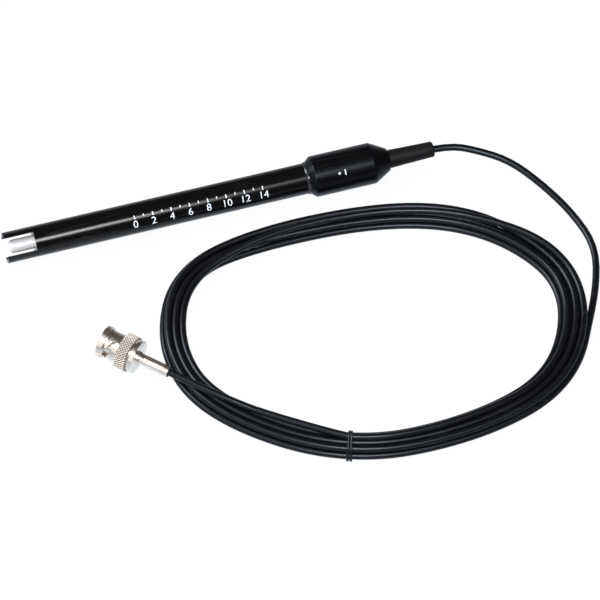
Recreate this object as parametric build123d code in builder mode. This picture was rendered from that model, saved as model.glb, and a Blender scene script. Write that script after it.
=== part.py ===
"""Combination pH electrode with its coiled cable and bayonet coaxial plug.

Millimetres, +Z up.  The electrode lies along X with its tip at -X, at rest on the edge of its tip
and on the front edge of its wider cap.  The coil and the plug lie on the same floor beside it.
"""

from build123d import *

import os
from math import atan, cos, degrees, hypot, pi, radians, sin, tan

os.makedirs("parts", exist_ok=True)

# Fits
seat_gap = 0.05
running_gap = 0.06

# Shaft and its tip guard
shaft_diameter = 12.0
shaft_wall = 1.2
shaft_reach = 120.0
shaft_socket = 14.0
spigot_step = 0.3
shaft_edge = 0.3
bond_gap = 1.4
guard_slot_width = 7.1
guard_slot_depth = 11.5
guard_roll = 32.0

# Glass stem and its sensing end
stem_diameter = 5.2
stem_wall = 0.5
stem_recess = 1.5
stem_top_gap = 2.0
bulb_corner = 1.9

# Seals inside the shaft
junction_length = 4.0
tip_seal_length = 3.0
bung_length = 9.0
bung_recess = 1.0
stem_plug_length = 5.0

# Silver wires and the leads that join them to the cable
wire_diameter = 0.6
wire_coat_length = 14.0
inner_coat_diameter = 1.2
reference_coat_diameter = 1.1
inner_wire_gap = 2.5
reference_wire_gap = 8.0
core_diameter = 1.5
core_length = 7.0

# Cap
cap_diameter = 16.0
cap_land = 0.35
cap_chamfer = 2.0
cap_barrel = 23.5
cap_cone = 6.5
cap_rear_diameter = 8.6
cap_chamber_diameter = 8.8
cap_rear_wall = 6.0

# Strain relief boot
boot_front_diameter = 7.1
boot_end_diameter = 6.0
boot_length = 18.0
boot_edge = 0.7
boot_spigot_diameter = 5.0
boot_flange_diameter = 6.4
boot_flange_length = 1.6

# Cable
cable_diameter = 2.8
lead_straight = 6.0
bend_share = 0.45

# Coil and its tie
coil_width = 11.4
coil_height = 6.0
coil_top_round = 2.2
coil_foot_round = 1.0
tie_width = 1.4
tie_thickness = 1.2
tie_proud = 0.4
tie_round = 2.4
tie_corner = (17.0, -122.0)

# Plug: where it lies
plug_front = (-59.0, -51.3)
plug_heading = -44.5

# Plug: coupling nut
lip_diameter = 12.7
lip_length = 1.9
lip_edge = 0.3
sleeve_diameter = 11.1
sleeve_bore = 9.9
knurl_diameter = 14.4
knurl_start = 8.2
knurl_length = 4.7
knurl_edge = 0.5
nut_web = 1.5
nut_front_wall = 0.5
nut_chamber_diameter = 12.0
bayonet_slot_width = 2.1
bayonet_detent = 2.5
bayonet_rise = 2.6
bayonet_sweep = 5.6
bayonet_roll = 62.0
bayonet_entry_depth = 0.9

# Plug: body
contact_recess = 2.0
contact_shoulder = 0.55
contact_wall = 0.55
contact_slit = 0.5
contact_slit_length = 4.0
contact_fingers = 4
barrel_start = 9.0
barrel_diameter = 9.2
flange_gap = 0.8
flange_diameter = 13.1
flange_length = 1.6
flange_edge = 0.25
collar_diameter = 5.0
collar_length = 0.9
crimp_stem_length = 6.0
stem_bore_diameter = 1.6

# Plug: contact, insulator, ring and washer
pin_diameter = 1.36
pin_recess = 2.8
pin_point = 0.8
pin_tail = 2.0
insulator_front = 6.5
gasket_length = 0.75
gasket_height = 0.6
ring_thickness = 0.6
ring_diameter = 11.2
ring_groove_depth = 0.4
ring_split = 1.4
ring_offset = 0.4
washer_thickness = 0.25
washer_diameter = 11.0

# Plug: crimp ferrule
ferrule_diameter = 4.3
ferrule_length = 12.4
crimp_flats = 4.0
crimp_margin = 2.0

# Values that follow from the sizes above
shaft_radius = shaft_diameter / 2
shaft_bore_radius = shaft_radius - shaft_wall
spigot_radius = shaft_radius - spigot_step
shaft_end = shaft_reach + shaft_socket
shaft_shoulder = shaft_reach - bond_gap
cap_radius = cap_diameter / 2
cap_edge = shaft_reach + cap_chamfer
cone_start = cap_edge + cap_barrel
cap_end = cone_start + cap_cone
chamber_end = cap_end - cap_rear_wall
boot_end = cap_end + boot_length
cable_radius = cable_diameter / 2
cable_bore_radius = cable_radius + seat_gap
wire_radius = wire_diameter / 2
wire_bore_radius = wire_radius + seat_gap
stem_radius = stem_diameter / 2
stem_bore_radius = stem_radius - stem_wall
stem_seat_radius = stem_radius + seat_gap
stem_end = shaft_end - stem_top_gap
bore_seat_radius = shaft_bore_radius - seat_gap
core_end = shaft_end + core_length

# The electrode's axis rises so that the tip's edge and the cap's edge both touch the floor
electrode_tilt = atan((cap_radius - shaft_radius) / cap_edge)
electrode_along = Vector(cos(electrode_tilt), 0, sin(electrode_tilt))
electrode_tip = Vector(-boot_end * cos(electrode_tilt) / 2, 0, shaft_radius * cos(electrode_tilt))
electrode_axis = Axis(electrode_tip, electrode_along)
electrode_plane = Plane(electrode_tip, x_dir=electrode_along, z_dir=(0, -1, 0))
tip_plane = Plane(electrode_tip, x_dir=(0, 1, 0), z_dir=electrode_along)

# The plug's axis lies level, with the knurled ring on the floor
plug_along = Vector(cos(radians(plug_heading)), sin(radians(plug_heading)), 0)
plug_origin = Vector(plug_front[0], plug_front[1], knurl_diameter / 2)
plug_axis = Axis(plug_origin, plug_along)
plug_side = plug_along.cross(Vector(0, 0, 1))
plug_plane = Plane(plug_origin, x_dir=plug_along, z_dir=plug_side)
plug_face = Plane(plug_origin, x_dir=plug_side, z_dir=plug_along)


def turn(plane, axis, corners):
    """Revolve a closed outline, given as (distance along the axis, radius) corners."""
    with BuildSketch(plane) as outline:
        with BuildLine():
            Polyline(*corners, close=True)
        make_face()
    revolve(outline.sketch, axis=axis)


def tube(plane, axis, start, end, inner, outer):
    """Turn a plain tube or, with no inner radius, a plain rod."""
    turn(plane, axis, [(start, inner), (start, outer), (end, outer), (end, inner)])


def bend_radii(points, closed=False):
    """Radius at each corner of a route: as large as its two runs allow."""
    last = len(points) if closed else len(points) - 1
    first = 0 if closed else 1
    radii = []
    for i in range(first, last):
        before = Vector(*points[i]) - Vector(*points[i - 1])
        after = Vector(*points[(i + 1) % len(points)]) - Vector(*points[i])
        half_turn = radians(before.get_angle(after)) / 2
        radii.append(bend_share * min(before.length, after.length) / tan(half_turn))
    return radii


def save(part, name):
    """Label a finished piece and write it."""
    part.label = name
    export_step(part, f"parts/{name}.step")


# Shaft: plastic tube whose slotted end leaves two guard prongs
with BuildPart() as shaft:
    turn(electrode_plane, electrode_axis, [
        (0, shaft_bore_radius),
        (0, shaft_radius - shaft_edge),
        (shaft_edge, shaft_radius),
        (shaft_shoulder, shaft_radius),
        (shaft_shoulder, spigot_radius),
        (shaft_end, spigot_radius),
        (shaft_end, shaft_bore_radius),
    ])
    guard_across = Vector(0, 1, 0).rotate(Axis((0, 0, 0), electrode_along), guard_roll)
    with BuildSketch(Plane(electrode_tip, x_dir=guard_across, z_dir=electrode_along)):
        Rectangle(guard_slot_width, shaft_diameter + 2 * shaft_edge)
    extrude(amount=guard_slot_depth, mode=Mode.SUBTRACT)
save(shaft.part, "shaft")

# Glass stem with its rounded sensing end
with BuildPart() as glass_stem:
    inner_start = stem_recess + stem_wall
    with BuildSketch(electrode_plane) as stem_outline:
        with BuildLine():
            Polyline(
                (stem_recess, 0),
                (stem_recess, stem_radius),
                (stem_end, stem_radius),
                (stem_end, stem_bore_radius),
                (inner_start, stem_bore_radius),
                (inner_start, 0),
                close=True,
            )
        make_face()
        fillet(stem_outline.vertices().sort_by_distance((stem_recess, stem_radius))[0], bulb_corner)
        inner_corner = stem_outline.vertices().sort_by_distance((inner_start, stem_bore_radius))[0]
        fillet(inner_corner, bulb_corner - stem_wall)
    revolve(axis=electrode_axis)
save(glass_stem.part, "glass_stem")

# Porous junction ring at the root of the guard slot
junction_end = guard_slot_depth + junction_length
with BuildPart() as junction_ring:
    tube(
        electrode_plane, electrode_axis,
        guard_slot_depth, junction_end, stem_seat_radius, bore_seat_radius,
    )
save(junction_ring.part, "junction_ring")

# Rubber seal behind the junction
tip_seal_start = junction_end + seat_gap
with BuildPart() as tip_seal:
    tube(
        electrode_plane, electrode_axis,
        tip_seal_start, tip_seal_start + tip_seal_length, stem_seat_radius, bore_seat_radius,
    )
save(tip_seal.part, "tip_seal")

# Inner silver wire with its chloride-coated end
inner_wire_start = guard_slot_depth + inner_wire_gap
with BuildPart() as inner_wire:
    turn(electrode_plane, electrode_axis, [
        (inner_wire_start, 0),
        (inner_wire_start, inner_coat_diameter / 2),
        (inner_wire_start + wire_coat_length, inner_coat_diameter / 2),
        (inner_wire_start + wire_coat_length, wire_radius),
        (shaft_end, wire_radius),
        (shaft_end, 0),
    ])
save(inner_wire.part, "inner_wire")

# Plug that closes the glass and holds the inner wire
with BuildPart() as stem_plug:
    tube(
        electrode_plane, electrode_axis,
        stem_end - stem_plug_length, stem_end, wire_bore_radius, stem_bore_radius - seat_gap,
    )
save(stem_plug.part, "stem_plug")

# Reference wire, halfway between the glass and the shaft wall
reference_offset = (stem_radius + shaft_bore_radius) / 2
reference_plane = Plane(
    electrode_tip + electrode_plane.y_dir * reference_offset, x_dir=electrode_along, z_dir=(0, -1, 0)
)
reference_axis = Axis(reference_plane.origin, electrode_along)
reference_start = tip_seal_start + tip_seal_length + reference_wire_gap
with BuildPart() as reference_wire:
    turn(reference_plane, reference_axis, [
        (reference_start, 0),
        (reference_start, reference_coat_diameter / 2),
        (reference_start + wire_coat_length, reference_coat_diameter / 2),
        (reference_start + wire_coat_length, wire_radius),
        (shaft_end, wire_radius),
        (shaft_end, 0),
    ])
save(reference_wire.part, "reference_wire")

# Bung that closes the reference chamber
bung_end = shaft_end - bung_recess
with BuildPart() as bung:
    tube(
        electrode_plane, electrode_axis,
        bung_end - bung_length, bung_end, stem_seat_radius, bore_seat_radius,
    )
    with BuildSketch(tip_plane.offset(bung_end - bung_length)):
        with Locations((0, reference_offset)):
            Circle(wire_bore_radius)
    extrude(amount=bung_length, mode=Mode.SUBTRACT)
save(bung.part, "bung")

# Cap: socket for the shaft, wiring chamber and conical rear
with BuildPart() as cap:
    socket_radius = spigot_radius + seat_gap
    rear_hole_radius = boot_spigot_diameter / 2 + seat_gap
    cap_front = shaft_reach + seat_gap
    turn(electrode_plane, electrode_axis, [
        (cap_front, socket_radius),
        (cap_front, shaft_radius + cap_land),
        (cap_edge, cap_radius),
        (cone_start, cap_radius),
        (cap_end, cap_rear_diameter / 2),
        (cap_end, rear_hole_radius),
        (chamber_end, rear_hole_radius),
        (chamber_end, cap_chamber_diameter / 2),
        (shaft_end + seat_gap, cap_chamber_diameter / 2),
        (shaft_end + seat_gap, socket_radius),
    ])
save(cap.part, "cap")

# Resin bead that fills the gap between the shaft's shoulder and the cap
with BuildPart() as cap_bond:
    bead_foot = spigot_radius + seat_gap
    bead_front = shaft_shoulder + 3 * seat_gap
    bead_front_point = (bead_front, shaft_radius)
    bead_top_point = (shaft_reach, shaft_radius + cap_land)
    with BuildSketch(electrode_plane):
        with BuildLine():
            Polyline(
                bead_front_point,
                (bead_front, bead_foot),
                (shaft_reach, bead_foot),
                bead_top_point,
            )
            RadiusArc(bead_top_point, bead_front_point, -bond_gap)
        make_face()
    revolve(axis=electrode_axis)
save(cap_bond.part, "cap_bond")

# Strain relief boot, held in the cap by its flange
with BuildPart() as boot:
    flange_back = chamber_end - seat_gap
    boot_front = cap_end + seat_gap
    with BuildSketch(electrode_plane) as boot_outline:
        with BuildLine():
            Polyline(
                (flange_back - boot_flange_length, cable_bore_radius),
                (flange_back - boot_flange_length, boot_flange_diameter / 2),
                (flange_back, boot_flange_diameter / 2),
                (flange_back, boot_spigot_diameter / 2),
                (boot_front, boot_spigot_diameter / 2),
                (boot_front, boot_front_diameter / 2),
                (boot_end, boot_end_diameter / 2),
                (boot_end, cable_bore_radius),
                close=True,
            )
        make_face()
        fillet(boot_outline.vertices().sort_by_distance((boot_end, boot_end_diameter / 2))[0], boot_edge)
    revolve(axis=electrode_axis)
save(boot.part, "boot")

# Cable end inside the boot and the cap, and the two leads that join it to the wires
with BuildPart() as cable_entry:
    tube(electrode_plane, electrode_axis, core_end, boot_end, 0, cable_radius)
save(cable_entry.part, "cable_entry")

with BuildPart() as core_lead:
    tube(electrode_plane, electrode_axis, shaft_end, core_end, 0, core_diameter / 2)
save(core_lead.part, "core_lead")

with BuildPart() as shield_lead:
    shield_start = electrode_plane.from_local_coords((shaft_end, reference_offset))
    shield_rest = core_diameter / 2 + wire_radius + seat_gap
    shield_stop = electrode_plane.from_local_coords((core_end, shield_rest))
    shield_span = shield_stop - shield_start
    with BuildSketch(Plane(shield_start, z_dir=shield_span)):
        Circle(wire_radius)
    extrude(amount=shield_span.length)
save(shield_lead.part, "shield_lead")

# Cable from the boot to the coil
lead_exit = electrode_tip + electrode_along * boot_end
lead_points = [
    tuple(lead_exit),
    tuple(lead_exit + electrode_along * lead_straight),
    (101.0, -4.5, 8.2),
    (112.5, -11.5, 6.6),
    (122.0, -24.0, 4.4),
    (130.0, -38.5, 2.4),
    (134.5, -55.0, 1.5),
    (129.5, -73.0, 1.5),
    (119.5, -88.5, 3.0),
]
lead_radii = bend_radii(lead_points)
with BuildPart() as cable_lead:
    with BuildLine() as lead_line:
        FilletPolyline(*lead_points, radius=lead_radii)
    with BuildSketch(Plane(lead_exit, z_dir=lead_line.wire() % 0)):
        Circle(cable_radius)
    sweep()
save(cable_lead.part, "cable_lead")

# Coil: the outer shape of the tied turns
coil_points = [
    (123.0, -70.0),
    (103.0, -39.0),
    (69.0, -22.0),
    (14.0, -18.0),
    (-23.0, -26.0),
    (-36.0, -58.0),
    (-27.0, -89.0),
    tie_corner,
    (66.0, -123.0),
    (107.0, -109.0),
]
coil_radii = bend_radii(coil_points, closed=True)
with BuildLine() as coil_line:
    FilletPolyline(*coil_points, radius=coil_radii, close=True)
tie_arc = coil_line.edges().sort_by_distance(tie_corner)[0]
tie_point = tie_arc @ 0.5
tie_along = tie_arc % 0.5
tie_plane = Plane(tie_point, x_dir=tie_along.cross(Vector(0, 0, -1)), z_dir=tie_along)
tie_outer_width = coil_width + 2 * tie_proud
tie_outer_height = coil_height + tie_proud
tie_inner_width = tie_outer_width - 2 * tie_thickness
tie_inner_height = tie_outer_height - 2 * tie_thickness

with BuildPart() as cable_coil:
    with BuildSketch():
        add(make_face(coil_line.edges(), mode=Mode.PRIVATE))
        offset(amount=coil_width / 2)
    extrude(amount=coil_height)
    with BuildSketch():
        add(make_face(coil_line.edges(), mode=Mode.PRIVATE))
        offset(amount=-coil_width / 2)
    extrude(amount=coil_height, mode=Mode.SUBTRACT)
    fillet(cable_coil.edges().group_by(Axis.Z)[-1], coil_top_round)
    fillet(cable_coil.edges().group_by(Axis.Z)[0], coil_foot_round)
    with BuildSketch(tie_plane):
        with Locations((0, tie_outer_height / 2)):
            Rectangle(2 * coil_width, 4 * coil_height)
            RectangleRounded(
                tie_inner_width - 2 * seat_gap,
                tie_inner_height - 2 * seat_gap,
                tie_round - tie_thickness,
                mode=Mode.SUBTRACT,
            )
    extrude(amount=tie_width / 2 + seat_gap, both=True, mode=Mode.SUBTRACT)
save(cable_coil.part, "cable_coil")

# Tie drawn tight round the coil
with BuildPart() as coil_tie:
    with BuildSketch(tie_plane):
        with Locations((0, tie_outer_height / 2)):
            RectangleRounded(tie_outer_width, tie_outer_height, tie_round)
            RectangleRounded(
                tie_inner_width, tie_inner_height, tie_round - tie_thickness, mode=Mode.SUBTRACT
            )
    extrude(amount=tie_width / 2, both=True)
save(coil_tie.part, "coil_tie")

# Coupling nut: lip, bayonet sleeve and knurled ring on an inner web
knurl_end = knurl_start + knurl_length
web_front = knurl_end - nut_web
with BuildPart() as coupling_nut:
    sleeve_bore_radius = sleeve_bore / 2
    sleeve_radius = sleeve_diameter / 2
    lip_radius = lip_diameter / 2
    knurl_radius = knurl_diameter / 2
    web_bore_radius = barrel_diameter / 2 + running_gap
    turn(plug_plane, plug_axis, [
        (lip_edge, sleeve_bore_radius),
        (0, sleeve_bore_radius + lip_edge),
        (0, lip_radius - lip_edge),
        (lip_edge, lip_radius),
        (lip_length - lip_edge, lip_radius),
        (lip_length, lip_radius - lip_edge),
        (lip_length, sleeve_radius),
        (knurl_start, sleeve_radius),
        (knurl_start, knurl_radius - knurl_edge),
        (knurl_start + knurl_edge, knurl_radius),
        (knurl_end - knurl_edge, knurl_radius),
        (knurl_end, knurl_radius - knurl_edge),
        (knurl_end, web_bore_radius),
        (web_front, web_bore_radius),
        (web_front, nut_chamber_diameter / 2),
        (knurl_start + nut_front_wall, nut_chamber_diameter / 2),
        (knurl_start + nut_front_wall, sleeve_bore_radius),
    ])
    # Each ramp slot is cut square to the wall, with a round detent at its end and an entry groove
    slot_front = lip_length + bayonet_slot_width / 2 + lip_edge / 2
    slot_lean = atan(bayonet_rise / bayonet_sweep)
    slot_span = hypot(bayonet_rise, bayonet_sweep)
    first_outward = plug_plane.y_dir.rotate(Axis((0, 0, 0), plug_along), bayonet_roll)
    for outward in (first_outward, first_outward * -1):
        slot_plane = Plane(plug_origin + outward * sleeve_radius, x_dir=plug_along, z_dir=outward)
        with BuildSketch(slot_plane):
            with Locations((slot_front + bayonet_rise / 2, 0)):
                SlotCenterToCenter(slot_span, bayonet_slot_width, rotation=90 - degrees(slot_lean))
            with Locations((slot_front + bayonet_rise, bayonet_sweep / 2)):
                Circle(bayonet_detent / 2)
        extrude(amount=sleeve_radius / 2, both=True, mode=Mode.SUBTRACT)
        entry_plane = Plane(plug_origin, x_dir=outward.cross(plug_along), z_dir=plug_along)
        with BuildSketch(entry_plane):
            with Locations((-bayonet_sweep / 2, sleeve_bore_radius)):
                Rectangle(bayonet_slot_width, 2 * bayonet_entry_depth)
        extrude(amount=slot_front, mode=Mode.SUBTRACT)
save(coupling_nut.part, "coupling_nut")

# Plug body: slit outer contact, barrel, rear flange and crimp stem
flange_start = knurl_end + flange_gap
flange_end = flange_start + flange_length
collar_end = flange_end + collar_length
crimp_stem_end = collar_end + crimp_stem_length
ring_start = barrel_start + ring_offset
ring_end = ring_start + ring_thickness
barrel_radius = barrel_diameter / 2
groove_radius = barrel_radius - ring_groove_depth
contact_radius = barrel_radius - contact_shoulder
contact_bore_radius = contact_radius - contact_wall
with BuildPart() as plug_body:
    turn(plug_plane, plug_axis, [
        (contact_recess, contact_bore_radius),
        (contact_recess, contact_radius),
        (barrel_start, contact_radius),
        (barrel_start, barrel_radius),
        (ring_start - seat_gap, barrel_radius),
        (ring_start - seat_gap, groove_radius),
        (ring_end + seat_gap, groove_radius),
        (ring_end + seat_gap, barrel_radius),
        (flange_start, barrel_radius),
        (flange_start, flange_diameter / 2 - flange_edge),
        (flange_start + flange_edge, flange_diameter / 2),
        (flange_end - flange_edge, flange_diameter / 2),
        (flange_end, flange_diameter / 2 - flange_edge),
        (flange_end, collar_diameter / 2),
        (collar_end, collar_diameter / 2),
        (collar_end, cable_radius),
        (crimp_stem_end, cable_radius),
        (crimp_stem_end, stem_bore_diameter / 2),
        (knurl_end, stem_bore_diameter / 2),
        (knurl_end, contact_bore_radius),
    ])
    with BuildSketch(plug_face.offset(contact_recess)):
        with PolarLocations(0, contact_fingers // 2, angular_range=180):
            Rectangle(barrel_diameter, contact_slit)
    extrude(amount=contact_slit_length, mode=Mode.SUBTRACT)
save(plug_body.part, "plug_body")

# Centre contact with a rounded-off point
with BuildPart() as centre_pin:
    pin_radius = pin_diameter / 2
    turn(plug_plane, plug_axis, [
        (pin_recess, 0),
        (pin_recess, pin_radius / 2),
        (pin_recess + pin_point, pin_radius),
        (flange_end + pin_tail, pin_radius),
        (flange_end + pin_tail, 0),
    ])
save(centre_pin.part, "centre_pin")

# Insulator between the centre contact and the body
with BuildPart() as insulator:
    tube(
        plug_plane, plug_axis,
        insulator_front, knurl_end - seat_gap, pin_radius + seat_gap, contact_bore_radius - seat_gap,
    )
save(insulator.part, "insulator")

# Gasket against the barrel's shoulder
with BuildPart() as gasket:
    gasket_end = barrel_start - seat_gap
    gasket_radius = contact_radius + seat_gap
    tube(
        plug_plane, plug_axis,
        gasket_end - gasket_length, gasket_end, gasket_radius, gasket_radius + gasket_height,
    )
save(gasket.part, "gasket")

# Split retaining ring in the barrel's groove
with BuildPart() as retaining_ring:
    tube(plug_plane, plug_axis, ring_start, ring_end, groove_radius + seat_gap, ring_diameter / 2)
    with BuildSketch(plug_face.offset(ring_start)):
        with Locations((0, ring_diameter / 2)):
            Rectangle(ring_split, ring_diameter)
    extrude(amount=ring_thickness, mode=Mode.SUBTRACT)
save(retaining_ring.part, "retaining_ring")

# Dished spring washer between the retaining ring and the nut's web
with BuildPart() as spring_washer:
    washer_front = ring_end + seat_gap
    washer_back = web_front - seat_gap
    washer_bore_radius = barrel_radius + running_gap
    turn(plug_plane, plug_axis, [
        (washer_front, washer_diameter / 2),
        (washer_front + washer_thickness, washer_diameter / 2),
        (washer_back, washer_bore_radius),
        (washer_back - washer_thickness, washer_bore_radius),
    ])
save(spring_washer.part, "spring_washer")

# Crimp ferrule, pressed to a hexagon over most of its length
ferrule_start = collar_end + seat_gap
ferrule_end = ferrule_start + ferrule_length
with BuildPart() as crimp_ferrule:
    ferrule_radius = ferrule_diameter / 2
    tube(plug_plane, plug_axis, ferrule_start, ferrule_end, cable_bore_radius, ferrule_radius)
    with BuildSketch(plug_face.offset(ferrule_start + crimp_margin)):
        Circle(ferrule_diameter)
        RegularPolygon(crimp_flats / 2, 6, major_radius=False, mode=Mode.SUBTRACT)
    extrude(amount=ferrule_length - 2 * crimp_margin, mode=Mode.SUBTRACT)
save(crimp_ferrule.part, "crimp_ferrule")

# Cable from the coil to the plug
tail_start = plug_origin + plug_along * (crimp_stem_end + seat_gap)
tail_straight = 2 * (ferrule_end - crimp_stem_end)
tail_points = [
    tuple(tail_start),
    tuple(tail_start + plug_along * tail_straight),
    (-26.7, -82.8, 7.3),
    (-18.5, -89.6, 6.4),
    (-9.5, -96.0, 4.8),
]
tail_radii = bend_radii(tail_points)
with BuildPart() as cable_tail:
    with BuildLine() as tail_line:
        FilletPolyline(*tail_points, radius=tail_radii)
    with BuildSketch(Plane(tail_start, z_dir=plug_along)):
        Circle(cable_radius)
    sweep()
save(cable_tail.part, "cable_tail")

for name, line, part, radii in (
    ("lead", lead_line, cable_lead, lead_radii),
    ("tail", tail_line, cable_tail, tail_radii),
):
    length = line.wire().length
    section = pi * cable_radius ** 2
    print(name, "length", round(length, 1), "volume / section", round(part.part.volume / section, 1))
    print(name, "radii", [round(radius, 1) for radius in radii])
print("coil round", round(coil_line.wire().length, 1), "radii", [round(radius, 1) for radius in coil_radii])
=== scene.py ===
"""A pH electrode lying on a pale floor with its coiled cable and its bayonet coaxial plug.

Metres, +Z up.  Sizes are written in millimetres and multiplied by MM.
"""

import math

import bpy
import numpy as np
from mathutils import Matrix, Vector


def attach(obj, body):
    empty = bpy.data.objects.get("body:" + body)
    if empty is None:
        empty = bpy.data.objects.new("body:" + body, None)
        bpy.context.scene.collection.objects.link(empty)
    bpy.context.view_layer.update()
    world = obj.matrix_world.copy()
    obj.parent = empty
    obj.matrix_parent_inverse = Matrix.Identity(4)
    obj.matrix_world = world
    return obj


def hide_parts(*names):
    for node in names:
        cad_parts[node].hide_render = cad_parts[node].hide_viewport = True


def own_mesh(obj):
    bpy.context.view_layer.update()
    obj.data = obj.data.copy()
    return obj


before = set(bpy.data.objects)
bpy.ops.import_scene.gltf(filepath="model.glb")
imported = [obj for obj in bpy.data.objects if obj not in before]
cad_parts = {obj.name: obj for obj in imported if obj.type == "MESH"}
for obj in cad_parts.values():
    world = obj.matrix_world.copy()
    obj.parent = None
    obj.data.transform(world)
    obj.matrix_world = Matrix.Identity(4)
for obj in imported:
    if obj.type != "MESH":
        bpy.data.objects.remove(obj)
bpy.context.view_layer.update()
MM = 0.001

# Electrode: distances along its axis from the tip
SHAFT_RADIUS = 6.0
CAP_RADIUS = 8.0
CAP_EDGE = 122.0
BOOT_END = 170.0
TILT = math.atan((CAP_RADIUS - SHAFT_RADIUS) / CAP_EDGE)
ALONG = Vector((math.cos(TILT), 0, math.sin(TILT)))
TIP = Vector((-BOOT_END * math.cos(TILT) / 2, 0, SHAFT_RADIUS * math.cos(TILT))) * MM

# Plug: distances along its axis from the front face
PLUG_HEADING = math.radians(-44.5)
PLUG_ALONG = Vector((math.cos(PLUG_HEADING), math.sin(PLUG_HEADING), 0))
PLUG_SIDE = PLUG_ALONG.cross(Vector((0, 0, 1)))
PLUG_FRONT = Vector((-59.0, -51.3, 7.2)) * MM

# Cable
CABLE_RADIUS = 1.4
LEAD_EXIT = TIP + ALONG * BOOT_END * MM
LEAD_STRAIGHT = 6.0
TAIL_BEND = 35.15
TAIL_END = 23.0

# Camera at the photograph's angle
VIEW_AZIMUTH = math.radians(-15)
VIEW_ELEVATION = math.radians(57)
VIEW_TARGET = Vector((18.95, -48.27, 0)) * MM
VIEW_DISTANCE = 3.0
VIEW_WIDTH = 0.229
SENSOR_WIDTH = 36.0
CLIP_END = 50.0

toward_camera = Vector((
    math.sin(VIEW_AZIMUTH) * math.cos(VIEW_ELEVATION),
    -math.cos(VIEW_AZIMUTH) * math.cos(VIEW_ELEVATION),
    math.sin(VIEW_ELEVATION),
))
camera_data = bpy.data.cameras.new("camera")
camera_data.sensor_width = SENSOR_WIDTH
camera_data.lens = SENSOR_WIDTH * VIEW_DISTANCE / VIEW_WIDTH
camera_data.clip_end = CLIP_END
camera = bpy.data.objects.new("camera", camera_data)
camera.location = VIEW_TARGET + toward_camera * VIEW_DISTANCE
camera.rotation_euler = (-toward_camera).to_track_quat("-Z", "Y").to_euler()
bpy.context.scene.collection.objects.link(camera)
bpy.context.scene.camera = camera

# Cable route: the lead, the turns of the coil and the tail
LEAD_POINTS = [
    LEAD_EXIT / MM - ALONG * LEAD_STRAIGHT,
    LEAD_EXIT / MM + ALONG * LEAD_STRAIGHT,
    (101.0, -4.5, 8.2),
    (112.5, -11.5, 6.6),
    (122.0, -24.0, 4.4),
    (130.0, -38.5, 2.4),
    (134.5, -55.0, 1.5),
    (129.5, -73.0, 1.5),
]
COIL_POINTS = [
    (107.0, -109.0),
    (66.0, -123.0),
    (17.0, -122.0),
    (-27.0, -89.0),
    (-36.0, -58.0),
    (-23.0, -26.0),
    (14.0, -18.0),
    (69.0, -22.0),
    (103.0, -39.0),
    (123.0, -70.0),
]
TAIL_POINTS = [
    (-9.5, -96.0, 4.8),
    (-18.5, -89.6, 6.4),
    (-26.7, -82.8, 7.3),
    PLUG_FRONT / MM + PLUG_ALONG * TAIL_BEND,
    PLUG_FRONT / MM + PLUG_ALONG * TAIL_END,
]

# Where each turn lies across the bundle, in millimetres outwards from its middle, and on which
# layer, at four places: the right side, the tie, the left side and the far side.
LANES = [
    [(5.6, 0), (3.1, 0), (3.0, 0), (5.4, 0)],
    [(2.8, 0), (0.3, 0), (0.2, 0), (2.5, 0)],
    [(-0.4, 0), (-2.3, 0), (-2.6, 0), (-3.0, 0)],
    [(-4.2, 0), (-3.5, 1), (-4.0, 1), (0.6, 2)],
    [(4.2, 1), (1.7, 1), (1.6, 1), (4.2, 1)],
    [(1.1, 1), (-0.8, 1), (-1.2, 1), (-1.2, 1)],
    [(-2.4, 1), (-2.1, 2)],
]
STATIONS = 80
LAST_STATIONS = 21
TIE_PLACE = 19.67
LAYER_RISE = 2.42
TIE_LIFT = 0.6
TIE_LIFT_REACH = 4.0
SWAY = 0.35
SWAY_RATE = 0.043
SWAY_SHIFT = 0.5
SETTLE_STEPS = 400
LANE_PULL = 0.04
SINK = 0.008
STRAIGHTEN_PASSES = 2
STRAIGHTENING = 0.3
PUSH_PASSES = 3
PUSH_SHARE = 0.7
SMALLEST_GAP = 1e-6


def coil_middle(share):
    """Point of the coil's middle line and its outward normal, at a share of one turn."""
    place = share * len(COIL_POINTS)
    corner = int(place) % len(COIL_POINTS)
    t = place - int(place)
    before = Vector(COIL_POINTS[corner - 1])
    here = Vector(COIL_POINTS[corner])
    after = Vector(COIL_POINTS[(corner + 1) % len(COIL_POINTS)])
    start = (before + here) / 2
    end = (here + after) / 2
    point = start * (1 - t) ** 2 + here * 2 * t * (1 - t) + end * t ** 2
    heading = ((here - start) * (1 - t) + (end - here) * t).normalized()
    return point, Vector((-heading.y, heading.x))


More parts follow.
